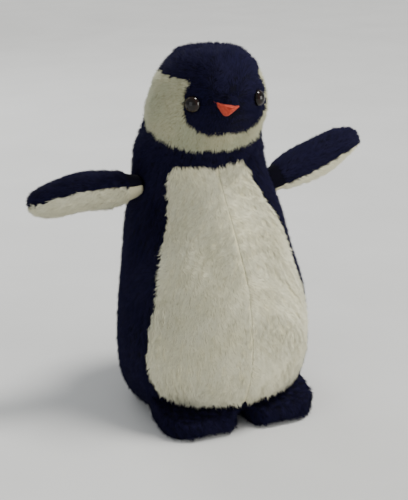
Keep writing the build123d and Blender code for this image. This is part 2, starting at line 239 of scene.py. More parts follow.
def cheek_distance(points):
    """How far points are outside the cream cheeks' side outline."""
    return signed_distance(points[:, 1], points[:, 2], CHEEK_OUTLINE)


def cream_distance(points):
    """How far points are outside the cream cheeks, negative on them."""
    return np.maximum(cheek_distance(points), -mask_distance(points))


def valley(distance):
    """Depth of a sewn seam at a distance from it."""
    return SEAM_DEPTH * np.exp(-((distance / SEAM_WIDTH) ** 2))


def body_seams(points):
    """Depth of the seam valleys on the body."""
    return np.maximum(valley(tummy_distance(points)), valley(from_seam(points) * HALF_WIDTH))


def head_seams(points):
    """Depth of the seam valleys on the head."""
    cream = cream_distance(points)
    chin = np.where(cream < 0, np.abs(points[:, 0]), 1.0)
    return np.maximum(valley(cream), valley(chin))


# ---------------------------------------------------------------- the CAD's own surface
def tree_of(*nodes):
    """A search tree over some CAD nodes' faces."""
    places, faces = [], []
    for node in nodes:
        mesh = frame["nodes"][node].data
        faces += [[i + len(places) for i in polygon.vertices] for polygon in mesh.polygons]
        places += [vertex.co.copy() for vertex in mesh.vertices]
    return BVHTree.FromPolygons(places, faces)


def onto_cad(points, middles, tree, reach, nearness):
    """The points moved out from their middles onto the CAD's surface, where it is near enough."""
    outward = unit(points - middles)
    moved = points.copy()
    for k, (point, way) in enumerate(zip(points, outward)):
        hit = tree.ray_cast(Vector(point + way * reach), Vector(-way), 2 * reach)[0]
        if hit is not None and (hit - Vector(point)).length < nearness:
            moved[k] = hit
    return moved


# ---------------------------------------------------------------- meshes
def make_mesh(name, points, faces):
    """An object from points and faces, smooth shaded."""
    mesh = bpy.data.meshes.new(name)
    mesh.from_pydata(np.asarray(points).tolist(), [], np.asarray(faces).tolist())
    mesh.shade_smooth()
    mesh.update()
    obj = bpy.data.objects.new(name, mesh)
    bpy.context.collection.objects.link(obj)
    return obj


def bake_modifiers(obj):
    """Make the object's mesh what its modifiers show."""
    seen = obj.evaluated_get(bpy.context.evaluated_depsgraph_get())
    mesh = bpy.data.meshes.new_from_object(seen)
    obj.modifiers.clear()
    obj.data = mesh


def grid_faces(rows, columns):
    """Quads of a grid whose columns close on themselves, facing outwards for rows that go up."""
    i, j = np.meshgrid(np.arange(rows - 1), np.arange(columns), indexing="ij")
    k = (j + 1) % columns
    low, high = i * columns, (i + 1) * columns
    return np.stack([low + j, low + k, high + k, high + j], -1).reshape(-1, 4)


def grid_normals(grid):
    """Outward normals of a closed-column grid of points."""
    around = np.roll(grid, -1, axis=1) - np.roll(grid, 1, axis=1)
    up = np.gradient(grid, axis=0)
    return unit(np.cross(around, up))


def shell(name, points, normals, faces, thickness=SKIN_THICKNESS):
    """A panel of cloth: some faces of a surface, given a thickness inwards and closed at its edges."""
    used, local = np.unique(faces, return_inverse=True)
    outer = local.reshape(faces.shape)
    count = len(used)
    top = points[used]
    bottom = top - normals[used] * thickness
    inner = outer[:, ::-1] + count
    edges = np.stack([outer, np.roll(outer, -1, axis=1)], -1).reshape(-1, 2)
    edges = edges[edges[:, 0] != edges[:, 1]]
    known = {tuple(edge) for edge in edges.tolist()}
    rim = [(b, a, a + count, b + count) for a, b in edges.tolist() if (b, a) not in known]
    every = outer.tolist() + inner.tolist() + rim
    mesh_faces = [list(dict.fromkeys(face)) for face in every]
    mesh = bpy.data.meshes.new(name)
    mesh.from_pydata(np.vstack([top, bottom]).tolist(), [], mesh_faces)
    mesh.shade_smooth()
    mesh.update()
    obj = bpy.data.objects.new(name, mesh)
    bpy.context.collection.objects.link(obj)
    return obj


def scatter(points, normals, faces, density, rng):
    """Random places on some faces of a surface, evenly spread, with their normals."""
    triangles = np.vstack([faces[:, [0, 1, 2]], faces[:, [0, 2, 3]]])
    a, b, c = (points[triangles[:, k]] for k in range(3))
    area = np.linalg.norm(np.cross(b - a, c - a), axis=1) / 2
    count = int(area.sum() * density)
    shares = (np.arange(count) + rng.uniform(0, 1, count)) / count
    chosen = np.searchsorted(np.cumsum(area) / area.sum(), shares)
    chosen = triangles[np.minimum(chosen, len(triangles) - 1)]
    u, v = rng.uniform(0, 1, (2, count, 1))
    flip = u + v > 1
    u, v = np.where(flip, 1 - u, u), np.where(flip, 1 - v, v)
    mix = [1 - u - v, u, v]
    place = sum(m * points[chosen[:, k]] for k, m in enumerate(mix))
    normal = unit(sum(m * normals[chosen[:, k]] for k, m in enumerate(mix)))
    return place, normal


# ---------------------------------------------------------------- fur
PILE_SINK = 0.5 * MM
FLOOR_GAP = 0.2 * MM  # no strand goes lower
PILE_SPLAY = 0.42


def cell_uvs(count):
    """A small triangle of the UV square for each strand, in the order in which they lie."""
    side = math.ceil(math.sqrt(count))
    column, row = np.arange(count) % side, np.arange(count) // side
    corners = np.array([(0.12, 0.12), (0.88, 0.12), (0.5, 0.4), (0.5, 0.88)])
    return (np.stack([column, row], -1)[:, None] + corners) / side


def fur(name, roots, normals, combed, length, width, lean, material, seed, tuft=6 * MM, ruffle=0.34):
    """Pile: one closed, tapered strand of four faces at each root, leaning the way it is combed."""
    rng = seeded(name)
    order = np.lexsort((np.arctan2(roots[:, 0], -roots[:, 1]), np.round(roots[:, 2] / (4 * MM))))
    length = np.broadcast_to(length, len(roots))[order]
    roots, normals, combed = roots[order], normals[order], combed[order]
    count = len(roots)
    comb = unit(combed - dot(combed, normals) * normals)
    lean = np.broadcast_to(lean, count)[order][:, None] + rng.normal(0, 0.12, (count, 1))
    sway = waves(roots, tuft, seed) * ruffle + rng.normal(0, 0.10, (count, 3))
    direction = unit(normals * np.cos(lean) + comb * np.sin(lean) + sway)
    rise = dot(direction, normals)
    direction = unit(direction + normals * np.maximum(0.15 - rise, 0))
    side = unit(np.cross(direction, normals))
    long = (length * rng.uniform(0.72, 1.15, count))[:, None]
    wide = (width * rng.uniform(0.75, 1.25, count))[:, None]
    base = roots - normals * PILE_SINK
    tip = base + direction * (long + PILE_SINK) + comb * long * 0.12
    left, right = base - side * wide / 2, base + side * wide / 2
    front = base + np.cross(side, direction) * wide * PILE_SPLAY
    points = np.stack([left, right, front, tip], axis=1).reshape(-1, 3)
    points[:, 2] = np.maximum(points[:, 2], FLOOR_GAP)
    first = 4 * np.arange(count)[:, None]
    pattern = np.array([(0, 1, 2), (0, 2, 3), (2, 1, 3), (1, 0, 3)])
    if np.sum(np.cross(right - left, front - left) * (tip - left)) > 0:
        pattern = pattern[:, ::-1]
    faces = (first[:, None] + pattern).reshape(-1, 3)
    mesh = bpy.data.meshes.new(name)
    mesh.vertices.add(len(points))
    mesh.vertices.foreach_set("co", points.astype(np.float32).ravel())
    mesh.loops.add(faces.size)
    mesh.loops.foreach_set("vertex_index", faces.astype(np.int32).ravel())
    mesh.polygons.add(len(faces))
    mesh.polygons.foreach_set("loop_start", np.arange(0, faces.size, 3, dtype=np.int32))
    mesh.update(calc_edges=True)
    mesh.shade_smooth()
    # Painted shade: each strand's root is darker than its tip, on top of a random tone per strand.
    root_shade_and_tone = np.repeat(rng.uniform(0.0, 0.5, count)[:, None], 4, axis=1)
    root_shade_and_tone[:, 3] += 0.5
    root_shade_and_tone[:, :3] *= 0.6
    shade = mesh.attributes.new("root_shade_and_tone", "FLOAT", "POINT")
    shade.data.foreach_set("value", root_shade_and_tone.astype(np.float32).ravel())
    uv = mesh.uv_layers.new(name="OFBake")
    uv.data.foreach_set("uv", cell_uvs(count).reshape(-1, 2)[faces.ravel()].astype(np.float32).ravel())
    soft = unit(normals * 0.8 + direction * 0.35 + rng.normal(0, 0.12, (count, 3)))
    mesh.normals_split_custom_set_from_vertices(np.repeat(soft, 4, axis=0).tolist())
    obj = bpy.data.objects.new(name, mesh)
    bpy.context.collection.objects.link(obj)
    mesh.materials.append(material)
    return obj


# ---------------------------------------------------------------- materials
def new_material(name):
    """A material with its node tree, its shader and a helper that adds a linked node."""
    material = bpy.data.materials.new(name)
    material.use_nodes = True
    nodes, links = material.node_tree.nodes, material.node_tree.links
    shader = nodes["Principled BSDF"]

    def add(kind, inputs=(), **settings):
        node = nodes.new(kind)
        for key, value in settings.items():
            setattr(node, key, value)
        for socket, value in dict(inputs).items():
            if isinstance(value, bpy.types.NodeSocket):
                links.new(value, node.inputs[socket])
            else:
                node.inputs[socket].default_value = value
        return node

    return material, shader, add, links


def ramp(add, factor, *stops):
    """A colour ramp through (place, colour) stops."""
    node = add("ShaderNodeValToRGB", {"Fac": factor})
    elements = node.color_ramp.elements
    while len(elements) < len(stops):
        elements.new(0.5)
    for element, (place, colour) in zip(elements, stops):
        element.position = place
        element.color = (*colour, 1)
    return node.outputs["Color"]


def blotches(add, size, detail=3.0):
    """Soft noise in the object's own space, with lumps of a given size."""
    place = add("ShaderNodeTexCoord").outputs["Object"]
    return add("ShaderNodeTexNoise", {"Vector": place, "Scale": 1 / size, "Detail": detail}).outputs["Fac"]


def mixed(add, factor, first, second, blend="MIX"):
    """Two colours mixed by a factor."""
    node = add("ShaderNodeMix", data_type="RGBA", blend_type=blend)
    tree = node.id_data
    for index, value in ((0, factor), (6, first), (7, second)):
        if isinstance(value, bpy.types.NodeSocket):
            tree.links.new(value, node.inputs[index])
        else:
            node.inputs[index].default_value = value
    return node.outputs[2]


def plush(name, deep, middle, light, mottle_shade_tint, sheen, sheen_tint, gloss):
    """Cut pile: darker at the strands' roots with painted shade between them, lighter at their tips, with
    soft random blotches of painted shade in another tint.
    """
    material, shader, add, links = new_material(name)
    # The ramp runs from the roots' painted shade to the lighter tips.
    root_shade_and_tone = add("ShaderNodeAttribute", attribute_name="root_shade_and_tone").outputs["Fac"]
    pile = ramp(add, root_shade_and_tone, (0.0, deep), (0.35, middle), (1.0, light))
    # Soft random blotches darkened in another tint: painted shade for the pile's mottling.
    patch = ramp(add, blotches(add, 22 * MM), (0.38, (0, 0, 0)), (0.68, (1, 1, 1)))
    mottle_shaded = mixed(add, patch, pile, (*mottle_shade_tint, 1), "MULTIPLY")
    fibre = blotches(add, 0.7 * MM, 2.0)
    speck = ramp(add, fibre, (0.3, (0.82, 0.82, 0.82)), (0.7, (1, 1, 1)))
    colour = mixed(add, 1.0, mottle_shaded, speck, "MULTIPLY")
    links.new(colour, shader.inputs["Base Color"])
    bump = add("ShaderNodeBump", {"Height": fibre, "Strength": 0.25, "Distance": 0.3 * MM})
    links.new(bump.outputs["Normal"], shader.inputs["Normal"])
    shader.inputs["Roughness"].default_value = 0.9
    shader.inputs["Specular IOR Level"].default_value = gloss
    shader.inputs["Sheen Weight"].default_value = sheen
    shader.inputs["Sheen Roughness"].default_value = 0.45
    shader.inputs["Sheen Tint"].default_value = (*sheen_tint, 1)
    return material


BLACK = plush("black_plush", (0.0030, 0.0027, 0.0086), (0.0076, 0.0068, 0.0245), (0.0150, 0.0134, 0.0480),
              (0.75, 0.78, 0.95), 0.0, (0.40, 0.40, 0.95), 0.10)
WHITE = plush("white_plush", (0.62, 0.58, 0.40), (0.87, 0.84, 0.62), (0.93, 0.91, 0.70),
              (0.95, 0.94, 0.89), 0.22, (1.0, 0.97, 0.82), 0.25)
# The cheeks' cream is darkened below the cloth's own colour, as painted shade.
SHADED_CREAM = plush("cream_plush", (0.34, 0.31, 0.18), (0.52, 0.50, 0.32), (0.60, 0.59, 0.41),
              (0.90, 0.95, 0.97), 0.15, (1.0, 0.96, 0.80), 0.25)


def felt(name, deep, light):
    """Dense coloured felt."""
    material, shader, add, links = new_material(name)
    colour = ramp(add, blotches(add, 1.2 * MM, 6.0), (0.3, deep), (0.7, light))
    links.new(colour, shader.inputs["Base Color"])
    bump = add("ShaderNodeBump", {"Height": blotches(add, 0.5 * MM), "Strength": 0.5, "Distance": 0.3 * MM})
    links.new(bump.outputs["Normal"], shader.inputs["Normal"])
    shader.inputs["Roughness"].default_value = 0.88
    shader.inputs["Sheen Weight"].default_value = 0.05
    shader.inputs["Specular IOR Level"].default_value = 0.2
    return material


CORAL = felt("coral_felt", (0.30, 0.028, 0.014), (0.50, 0.065, 0.034))
FIBRE = felt("fibre_stuffing", (0.55, 0.55, 0.52), (0.8, 0.8, 0.77))
POUCH = felt("pouch_cloth", (0.30, 0.28, 0.24), (0.45, 0.42, 0.36))
PELLETS = felt("pellets", (0.5, 0.5, 0.5), (0.8, 0.8, 0.82))
WASHER = felt("washer_plastic", (0.6, 0.6, 0.58), (0.75, 0.75, 0.72))


def eye_material(name, centre):
    """Glossy safety eye: black pupil, brown iris that glows amber near its rim, dark edge."""
    material, shader, add, links = new_material(name)
    place = add("ShaderNodeTexCoord").outputs["Object"]
    away = add("ShaderNodeVectorMath", {0: place, 1: centre}, operation="DISTANCE").outputs["Value"]
    share = add("ShaderNodeMath", {0: away, 1: 1 / (7 * MM)}, operation="MULTIPLY").outputs["Value"]
    iris = ramp(add, share, (0.0, (0.004, 0.003, 0.003)), (0.52, (0.006, 0.004, 0.003)),
                (0.62, (0.010, 0.004, 0.002)), (0.76, (0.020, 0.007, 0.003)), (0.88, (0.006, 0.004, 0.003)))
    streaks = blotches(add, 0.9 * MM, 4.0)
    colour = mixed(add, streaks, iris, (0.35, 0.22, 0.16, 1), "MULTIPLY")
    links.new(colour, shader.inputs["Base Color"])
    wear = ramp(add, blotches(add, 2 * MM), (0.4, (0.05, 0.05, 0.05)), (0.8, (0.12, 0.12, 0.12)))
    links.new(wear, shader.inputs["Roughness"])
    shader.inputs["Specular IOR Level"].default_value = 0.3
    return material


def repaint(node, material):
    """Give a carried-over CAD node a finished material."""
    data = frame["nodes"][node].data
    data.materials.clear()
    data.materials.append(material)


for node, finish in (
    ("torso_stuffing", FIBRE), ("neck_stuffing", FIBRE), ("tail_stuffing", FIBRE),
    ("flipper_stuffing_left", FIBRE), ("flipper_stuffing_right", FIBRE), ("foot_stuffing_left", FIBRE),
    ("foot_stuffing_right", FIBRE), ("pellet_pouch", POUCH), ("pellet_fill", PELLETS),
    ("eye_washer_left", WASHER), ("eye_washer_right", WASHER),
):
    repaint(node, finish)

eye_centres = {}
for name, side in (("left", 1), ("right", -1)):
    looking = EYE_AXIS * (side, 1, 1)
    spots = np.array([v.co for v in frame["nodes"][f"eye_{name}"].data.vertices])
    apex = spots[np.argmax(spots @ looking)]
    eye_centres[name] = apex - looking * 4 * MM
    repaint(f"eye_{name}", eye_material(f"eye_plastic_{name}", apex))

DENSITY = 2.1e6  # strands to the square metre


def panel_skin(skin, node, material):
    """A panel of cloth stands for its CAD node: its material and slot."""
    skin.data.materials.append(material)
    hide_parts(node)


# ---------------------------------------------------------------- body
def body_blend(obj):
    """The body's cloth, its transform applied to its mesh."""
    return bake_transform(obj)


def head_blend(obj):
    """The head's cloth, its transform applied to its mesh."""
    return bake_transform(obj)


def figure_grid(heights, columns, tree, seams, lumps, seed, swell=None):
    """Rings of points on the CAD's surface, set in to the cloth, with seams and soft lumps."""
    angles = np.linspace(0, 2 * math.pi, columns, endpoint=False)
    h, t = np.meshgrid(heights, angles, indexing="ij")
    t = t + tummy_turn(h) * (1 + np.cos(t)) / 2
    grid = figure_point(h, t)
    if tree:
        flat = grid.reshape(-1, 3)
        centre_y = smooth(STATIONS, flat[:, 2] / HEIGHT)[:, 2] * HALF_DEPTH
        middles = np.stack([0 * flat[:, 0], centre_y, flat[:, 2]], -1)
        grid = onto_cad(flat, middles, tree, 6 * MM, 2.2 * MM).reshape(grid.shape)
    normals = grid_normals(grid).reshape(-1, 3)
    flat = grid.reshape(-1, 3)
    relief = waves(flat, 60 * MM, seed)[:, :1] * lumps - seams(flat)[:, None] - SKIN_INSET
    room = STUFFING_INSET * np.linalg.norm(normals[:, :2], axis=1, keepdims=True)
    relief = np.maximum(relief, -0.72 * room)
    if swell:
        relief = relief + swell(flat)[:, None]
    return flat + normals * relief, normals


def centres(points, faces):
    """Middle of each face."""
    return points[faces].mean(axis=1)


BODY_COLUMNS = 252
body_heights = np.arange(3.0, NECK_SPLIT / MM + 0.1, 2.0) * MM
body_tree = tree_of(
    "tummy_panel_left", "tummy_panel_right", "back_panel_left", "back_panel_right", "neck_band",
)
body_points, body_normals = figure_grid(body_heights, BODY_COLUMNS, body_tree, body_seams, 0.6 * MM, 5)
body_faces = grid_faces(len(body_heights), BODY_COLUMNS)
body_middle = centres(body_points, body_faces)
on_tummy = tummy_distance(body_middle) < 0
body_side = np.sign(from_seam(body_middle))

for name, side in (("left", 1), ("right", -1)):
    here = side * body_side > 0
    for panel, chosen, material, kind in (
        ("tummy", on_tummy & here, WHITE, "white_plush"),
        ("back", ~on_tummy & here, BLACK, "black_plush"),
    ):
        skin = shell(f"{panel}_skin_{name}", body_points, body_normals, body_faces[chosen])
        panel_skin(skin, f"{panel}_panel_{name}", material)
        body_blend(skin)


def down(points):
    """Combing straight down."""
    return np.tile((0.0, 0.0, -1.0), (len(points), 1))


def seam_trim(seam, length):
    """Pile is shorter in a seam's valley."""
    return length * (1 - 0.45 * np.exp(-((seam / (1.6 * MM)) ** 2)))


def body_fur(name, white, half):
    """Pile of the tummy or of one half of the back."""
    rng = seeded(name + "_roots")
    faces = body_faces[half]
    roots, normals = scatter(body_points, body_normals, faces, DENSITY, rng)
    border = tummy_distance(roots) + waves(roots, 7 * MM, 11)[:, 0] * 0.9 * MM
    keep = (border < 0) if white else (border > 0)
    roots, normals = roots[keep], normals[keep]
    combed = down(roots) + waves(roots, 45 * MM, 12) * 0.35
    seam = from_seam(roots) * HALF_WIDTH
    combed[:, 0] += np.sign(seam) * np.exp(-np.abs(seam) / (4 * MM)) * (0.7 if white else 0.2)
    length = seam_trim(seam, (4.2 if white else 4.6) * MM)
    material, kind = (WHITE, "white_plush") if white else (BLACK, "black_plush")
    obj = fur(name, roots, normals, combed, length, 0.62 * MM, 1.02, material, 21, ruffle=0.25)
    return body_blend(obj)


for name, side in (("left", 1), ("right", -1)):
    here = side * body_side > 0
    body_fur(f"tummy_fur_{name}", True, here & (tummy_distance(body_middle) < 5 * MM))
    front = body_middle[:, 1] < 0
    outside = tummy_distance(body_middle) > -5 * MM
    body_fur(f"flank_fur_{name}", False, here & front & outside)
    body_fur(f"back_fur_{name}", False, here & ~front & outside)


def disc(name, heights, columns=96, rings=16):
    """The base: a shallow closed cushion under the body."""
    angles = np.linspace(0, 2 * math.pi, columns, endpoint=False)
    rows = [figure_point(np.full(columns, 3.2 * MM), angles, SKIN_INSET)]
    for height, shares in heights:
        for share in shares:
            ring = rows[0] * (share, share, 0) + (0, 0, height)
            rows.append(ring)
    grid = np.array(rows)
    points = grid.reshape(-1, 3)
    return make_mesh(name, points, grid_faces(len(rows), columns)[:, ::-1])


base_skin = disc("base_skin", [
    (1.2 * MM, (0.99,)),
    (0.6 * MM, (0.95, 0.8, 0.6, 0.4, 0.2, 0.02)),
    (3.0 * MM, (0.02, 0.3, 0.6, 0.9, 0.985)),
])
base_skin.data.materials.append(BLACK)
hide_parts("base_panel")
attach(base_skin, "torso")

# ---------------------------------------------------------------- head
HEAD_COLUMNS = 204
head_heights = np.concatenate([
    np.arange(NECK_SPLIT / MM, 284, 1.7), np.array([285.5, 287, 288.4, 289.6, 290.6, 291.4]),
]) * MM
head_tree = tree_of(
    "crown_gusset", "face_panel_left", "face_panel_right", "cheek_panel_left", "cheek_panel_right",
    "nape_panel_left", "nape_panel_right", "neck_band",
)
# Where the stuffing fills the head out: place and width in mm, and how far it swells.
SWELLS = [
    ((-47, -14, 242), 18, 5.0), ((47, -14, 238), 17, 1.6),
    ((0, -62, 249), 13, 1.8), ((-20, 0, 290), 14, 1.2),
]
CAP_SHARES = (0.86, 0.7, 0.5, 0.3, 0.1, 0.01)  # rings that close the crown
CAP_RISE = 1.6 * MM
GUSSET_HALF_WIDTH = 20 * MM
FACE_FRONT = -5 * MM  # the mask's panels lie in front of this Y


def head_swell(points):
    """How far the head stands out of its plain form."""
    swell = np.zeros(len(points))
    for place, width, height in SWELLS:
        away = np.linalg.norm(points - np.array(place) * MM, axis=1) / (width * MM)
        swell += height * MM * np.exp(-away * away)
    return swell


head_points, head_normals = figure_grid(
    head_heights, HEAD_COLUMNS, head_tree, head_seams, 0.7 * MM, 9, head_swell)
crown = head_points[-HEAD_COLUMNS:]
crown_middle = crown.mean(axis=0)
cap = [
    crown_middle + (crown - crown_middle) * (s, s, 1) + (0, 0, CAP_RISE * (1 - s * s)) for s in CAP_SHARES
]
head_points = np.vstack([head_points, *cap])
head_rows = len(head_heights) + len(cap)
head_normals = grid_normals(head_points.reshape(head_rows, HEAD_COLUMNS, 3)).reshape(-1, 3)
head_normals[-3 * HEAD_COLUMNS:] = (0, 0, 1)
head_faces = grid_faces(head_rows, HEAD_COLUMNS)
head_middle = centres(head_points, head_faces)
on_cream = cream_distance(head_middle) < 0
on_mask = mask_distance(head_middle) < 0
gusset_edge = 268 * MM - 0.3 * (head_middle[:, 1] + 16 * MM)
on_gusset = (np.abs(head_middle[:, 0]) < GUSSET_HALF_WIDTH) & (head_middle[:, 2] > gusset_edge)
on_face = on_mask & (head_middle[:, 1] < FACE_FRONT)

for name, side in (("left", 1), ("right", -1)):
    here = side * head_middle[:, 0] > 0
    for panel, chosen, material, kind in (
        ("cheek", on_cream & here & ~on_gusset, SHADED_CREAM, "cream_plush"),
        ("face", on_face & here & ~on_gusset & ~on_cream, BLACK, "black_plush"),
        ("nape", ~on_face & here & ~on_gusset & ~on_cream, BLACK, "black_plush"),
    ):
        skin = shell(f"{panel}_skin_{name}", head_points, head_normals, head_faces[chosen])
        panel_skin(skin, f"{panel}_panel_{name}", material)
        head_blend(skin)

head_fill = bpy.data.objects.new("head_fill", frame["nodes"]["head_stuffing"].data.copy())
bpy.context.collection.objects.link(head_fill)
even = head_fill.modifiers.new("even", "REMESH")
even.mode, even.voxel_size = "VOXEL", 4 * MM
bake_modifiers(head_fill)
head_fill.data.materials.clear()
head_fill.data.materials.append(FIBRE)
head_fill.data.shade_smooth()
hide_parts("head_stuffing")
head_blend(head_fill)

gusset_skin = shell("gusset_skin", head_points, head_normals, head_faces[on_gusset & ~on_cream])
panel_skin(gusset_skin, "crown_gusset", BLACK)
head_blend(gusset_skin)


def from_beak(points):
    """Combing back from the beak over the crown, and down the cheeks and the nape."""
    return unit(points - BEAK_POINT) + (0, 0.15, -0.75)


def off_eyes(points):
    """Where no eye shows."""
    clear = np.ones(len(points), bool)
    for centre in eye_centres.values():
        clear &= np.linalg.norm(points - centre, axis=1) > EYE_CLEARING
    return clear


def off_beak(points):
    """Where the coral triangle doesn't show."""
    x, z = np.abs(points[:, 0]), points[:, 2]
    inside = (z < 257.5 * MM) & (z > 246 * MM) & (x < (z - 245 * MM) * 0.95) & (points[:, 1] < -40 * MM)
    return ~inside


def head_fur(name, cream, part):
    """Pile of one part of the head."""
    rng = seeded(name + "_roots")
    roots, normals = scatter(head_points, head_normals, head_faces[part], DENSITY * 1.15, rng)
    border = cream_distance(roots) + waves(roots, 6 * MM, 31)[:, 0] * 0.8 * MM
    keep = (border < 0 if cream else border > 0) & off_eyes(roots) & off_beak(roots)
    roots, normals = roots[keep], normals[keep]
    combed = from_beak(roots) + waves(roots, 30 * MM, 32) * 0.3
    length = np.full(len(roots), (4.4 if cream else 4.2) * MM)
    muzzle = np.linalg.norm(roots - BEAK_POINT, axis=1)
    length = length * np.clip(muzzle / (22 * MM), 0.55, 1)
    nearest = np.min([np.linalg.norm(roots - centre, axis=1) for centre in eye_centres.values()], axis=0)
    length = length * np.clip((nearest - 3 * MM) / (8 * MM), 0.4, 1)
    obj = fur(name, roots, normals, combed, length, 0.6 * MM, 1.0, SHADED_CREAM if cream else BLACK, 33)
    return head_blend(obj)


wide_cream = cream_distance(head_middle)
for name, side in (("left", 1), ("right", -1)):
    here = side * head_middle[:, 0] > 0
    head_fur(f"cheek_fur_{name}", True, here & (wide_cream < 5 * MM))
    head_fur(f"head_fur_{name}", False, here & (wide_cream > -5 * MM))


# ---------------------------------------------------------------- beak
BEAK_TILT = 13  # degrees, lower on its left side
BEAK_SHIFT = -2.5 * MM


def wedge(name, outline, depths, material):
    """A soft closed form: an outline on the face, drawn forwards through (distance, share, drop) steps."""
    tilt = math.radians(BEAK_TILT)
    turn = np.array([(math.cos(tilt), -math.sin(tilt)), (math.sin(tilt), math.cos(tilt))])
    ring = np.array(outline, float) @ turn * MM
    rows = []
    for ahead, share, drop in depths:
        x = ring[:, 0] * share + BEAK_SHIFT
        z = 257 * MM + (ring[:, 1]) * share - drop * MM
        y = -61 * MM - ahead * MM + ring[:, 0] ** 2 * 12
        rows.append(np.stack([x, np.broadcast_to(y, x.shape), z], -1))
    grid = np.array(rows)
    obj = make_mesh(name, grid.reshape(-1, 3), grid_faces(len(rows), len(ring)))
    obj.modifiers.new("round", "SUBSURF").levels = 2
    obj.modifiers["round"].render_levels = 2
    bake_modifiers(obj)
    obj.data.materials.append(material)
    return obj


LOWER_BEAK = [
    (-10.5, 0.4), (-5, 0.3), (0, 0.2), (5, 0.3), (10.5, 0.4), (9.6, -0.9),
    (5.2, -5.2), (1.2, -9.6), (-1.2, -9.6), (-5.2, -5.2), (-9.6, -0.9),
]
UPPER_BEAK = [
    (-11, 0), (-6, -0.5), (0, -0.5), (6, -0.5), (11, 0),
    (9, 3), (5, 5.4), (0, 6.2), (-5, 5.4), (-9, 3),
]
STEPS = [
    (-5, 0.02, 0), (-5, 0.6, 0), (-4.5, 1.0, 0), (1.0, 1.0, 0),
    (4.2, 0.86, 0.4), (6.6, 0.62, 1.0), (8.0, 0.34, 1.6), (8.4, 0.02, 1.8),
]

beak_lower = wedge("beak_lower_felt", LOWER_BEAK, STEPS, CORAL)
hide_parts("beak_lower")
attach(beak_lower, "head")
beak_upper = wedge("beak_upper_skin", UPPER_BEAK, [(a * 0.42, s, d) for a, s, d in STEPS], BLACK)
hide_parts("beak_upper")
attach(beak_upper, "head")


def mesh_surface(obj):
    """Points, normals and quads of a mesh."""
    mesh = obj.data
    points = np.array([v.co for v in mesh.vertices])
    normals = np.array([v.normal for v in mesh.vertices])
    corners = [tuple(polygon.vertices) for polygon in mesh.polygons]
    faces = np.array([face if len(face) == 4 else (*face, face[-1]) for face in corners])
    return points, normals, faces


tuft_points, tuft_normals, tuft_faces = mesh_surface(beak_upper)
tuft_roots, tuft_ups = scatter(tuft_points, tuft_normals, tuft_faces, 4e6, seeded("tuft_roots"))
ahead = tuft_roots[:, 1] < -58 * MM
tuft_roots, tuft_ups = tuft_roots[ahead], tuft_ups[ahead]
tuft_comb = tuft_roots * (40, 0, 0) + (0, 0.1, -0.6)
tuft_fur = fur("beak_upper_fur", tuft_roots, tuft_ups, tuft_comb, 3.6 * MM, 0.55 * MM, 0.75, BLACK, 41)
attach(tuft_fur, "head")


# ---------------------------------------------------------------- flippers
def joint_place(name):
    """Where a joint lies, at rest."""
    found = next(joint for joint in frame["joints"] if joint["name"] == name)
    return np.array(found["pos_m"])


def flipper_frame(name):
    """Directions along a flipper, across to its leading edge, and up through its thickness."""
    side = 1 if name == "left" else -1
    rise = FLIPPER_RISE[name]
    along = np.array((side * math.cos(rise), 0, math.sin(rise)))
    above = np.array((-side * math.sin(rise), 0, math.cos(rise)))
    leading = np.array((0, -1, 0)) * math.cos(FLIPPER_PITCH) + above * math.sin(FLIPPER_PITCH)
    through = above * math.cos(FLIPPER_PITCH) + np.array((0, 1, 0)) * math.sin(FLIPPER_PITCH)
    return along, leading, through


FLIPPER_SHOULDER = 0.94  # share of the length from which the tip rounds off


def flipper_grid(name, columns=64):
    """Rings of points from inside the flank to the rounded tip, set in to the cloth."""
    root = joint_place(f"flipper_{name}_swing")
    along, leading, through = flipper_frame(name)
    side = 1 if name == "left" else -1
    turn = np.linspace(0, 2 * math.pi, columns, endpoint=False) * -side
    rows = []
    rounding = FLIPPER_SHOULDER + 0.06 * np.sin(np.linspace(0.2, math.pi / 2, 7))
    for share in np.concatenate([np.linspace(-0.09, FLIPPER_SHOULDER, 44), rounding]):
        chord, growth = smooth(FLIPPER_STATIONS, share)
        close = math.sqrt(max(1 - (max(share - FLIPPER_SHOULDER, 0) / 0.0602) ** 2, 0))
        close = 0.35 + 0.65 * close if close > 0.1 else 0.03
        thick = FLIPPER_ROOT_THICKNESS + growth * (FLIPPER_THICKNESS - FLIPPER_ROOT_THICKNESS)
        half_chord = (chord * FLIPPER_CHORD / 2 - FLIPPER_INSET) * close
        half_thick = max(thick / 2 - FLIPPER_INSET, 1.6 * MM) * close
        bow = FLIPPER_BOW[name] * math.sin(math.pi * min(max(share, 0), 1) * 1.25)
        middle = root + along * share * FLIPPER_LENGTH + np.array((0, 0, bow))
        across = np.outer(np.cos(turn) * half_chord, leading)
        rows.append(middle + across + np.outer(np.sin(turn) * half_thick, through))
    return np.array(rows), turn


